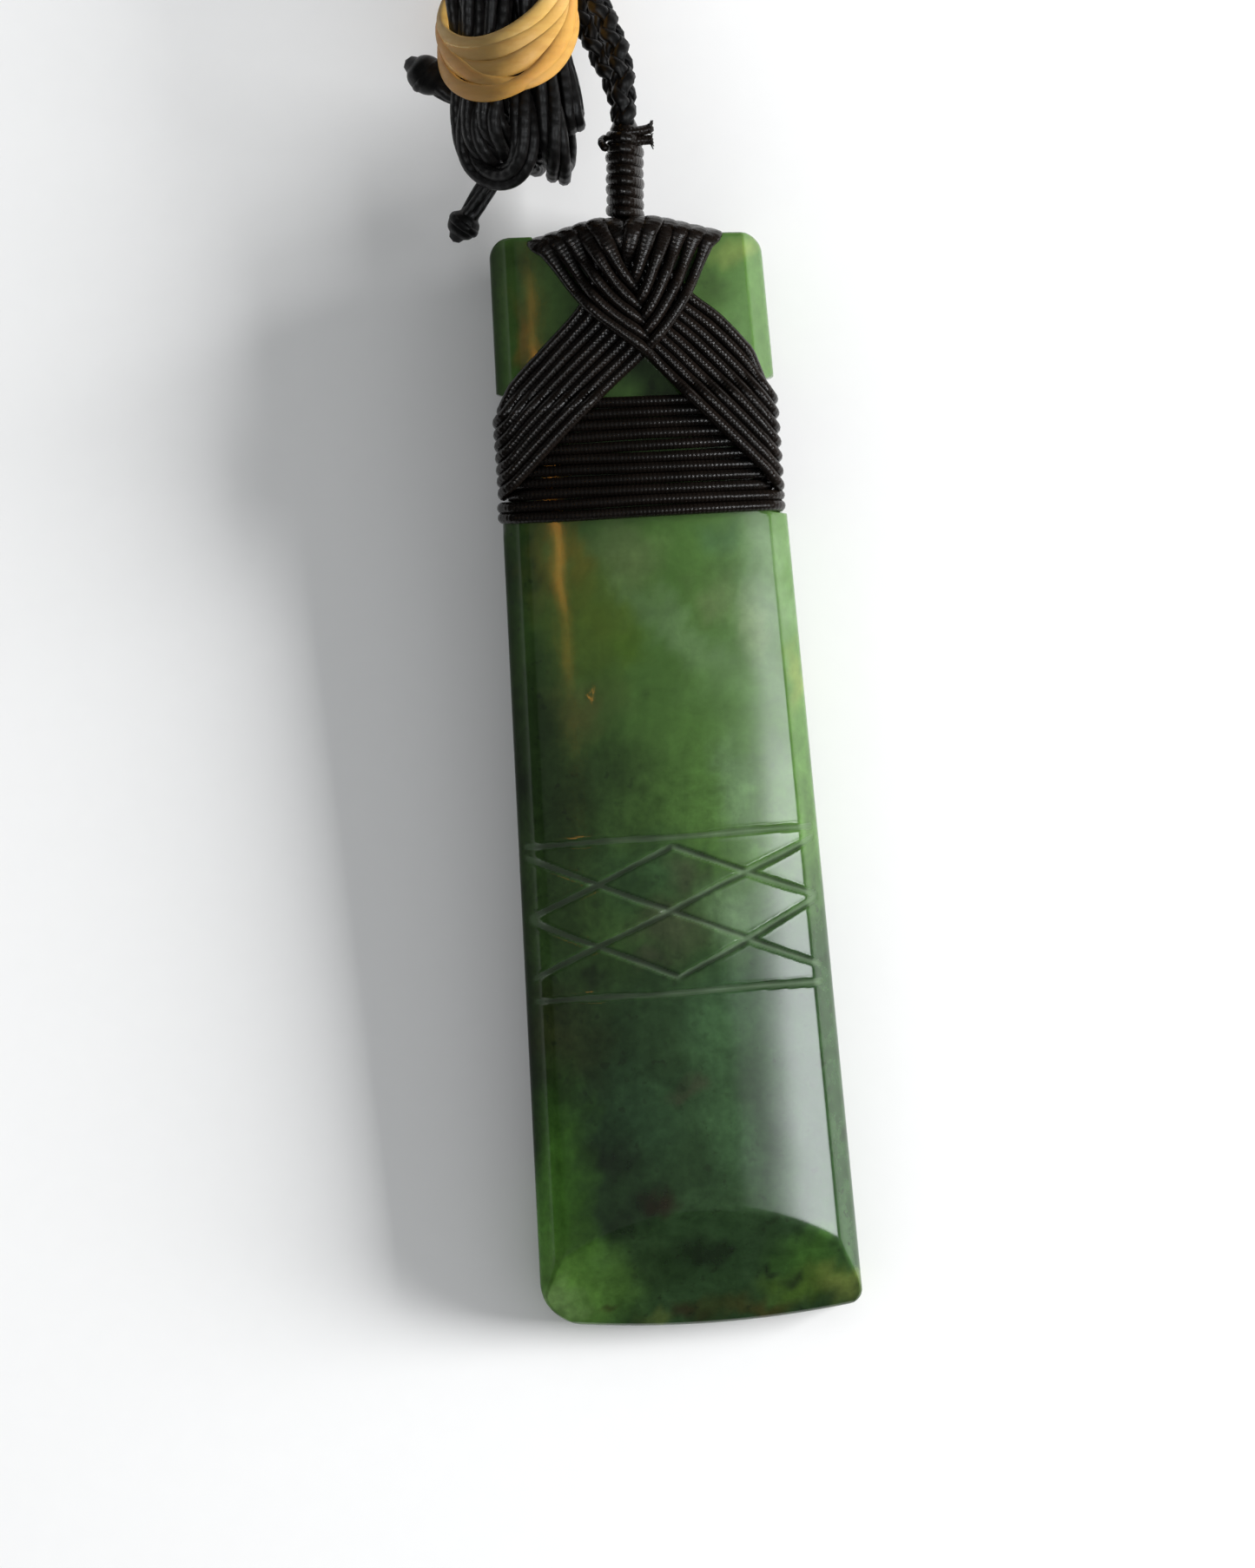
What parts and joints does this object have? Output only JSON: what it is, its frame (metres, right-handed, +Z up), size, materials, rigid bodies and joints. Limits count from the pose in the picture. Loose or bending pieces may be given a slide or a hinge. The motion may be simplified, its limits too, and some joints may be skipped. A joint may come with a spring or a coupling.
{
  "type": "toki adze pendant",
  "caption": "Green stone adze-blade pendant with an incised lattice band, lashed with black waxed thread to a plaited cord that is folded into a hank under a rubber band.",
  "frame": {"origin": "centre of the pendant's footprint, without the cord, on the surface that it lies on", "axes": "+Z up, out of the stone's crowned front; +Y along the stone from its blade edge to the cord; +X to the right as seen from the front"},
  "size_m": [0.0276, 0.1281, 0.0103],
  "materials": {
    "greenstone": "polished nephrite, slightly translucent",
    "waxed_thread": "black-brown waxed thread, low sheen",
    "plaited_cord": "black waxed four-strand plait",
    "band_rubber": "tan latex, soft satin"
  },
  "bodies": {
    "root": {"toki": "greenstone", "lashing_band": "waxed_thread", "lashing_cross": "waxed_thread", "neck_whipping": "waxed_thread", "cord_upper": "plaited_cord", "cord_lower": "plaited_cord", "cord_hank": "plaited_cord", "rubber_band": "band_rubber", "tail_bottom": "plaited_cord", "tail_left": "plaited_cord", "knot_bottom": "plaited_cord", "knot_left": "plaited_cord"}
  },
  "joints": []
}
